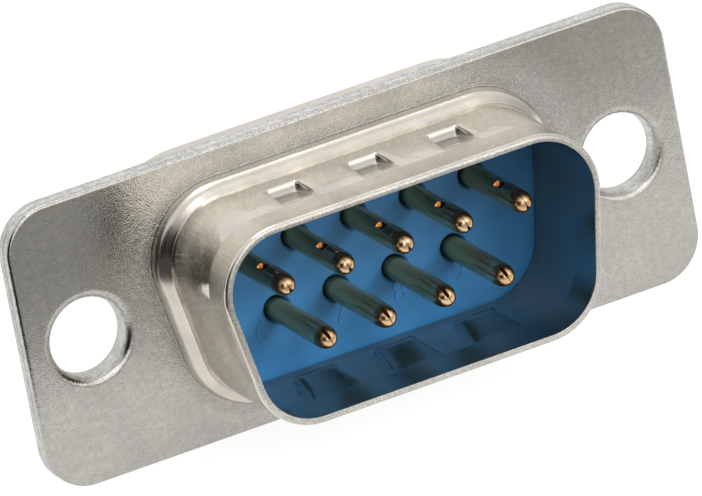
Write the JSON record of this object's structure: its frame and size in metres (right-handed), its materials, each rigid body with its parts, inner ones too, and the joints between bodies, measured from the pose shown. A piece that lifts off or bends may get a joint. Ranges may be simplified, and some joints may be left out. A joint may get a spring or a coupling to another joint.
{
  "type": "d-sub connector",
  "caption": "Keyed D-sub plug with a two-piece steel shell, screw holes in its flange, blue insulators, rolled gold pins and solder cups behind.",
  "frame": {"origin": "middle of the flange on its front face, midway between the two screw holes", "axes": "+X along the flange, to the right as the mating face is seen; +Z towards the wide contact row; -Y is the mating direction"},
  "size_m": [0.0308, 0.0164, 0.0126],
  "materials": {
    "shell": "tin-plated, satin flange and polished shroud",
    "insulator": "blue moulded thermoplastic",
    "contact": "gold flash over rolled brass strip"
  },
  "bodies": {
    "root": {"front_shell": "shell", "rear_shell": "shell", "front_insulator": "insulator", "rear_insulator": "insulator", "contact_1": "contact", "contact_2": "contact", "contact_3": "contact", "contact_4": "contact", "contact_5": "contact", "contact_6": "contact", "contact_7": "contact", "contact_8": "contact", "contact_9": "contact"}
  },
  "joints": []
}
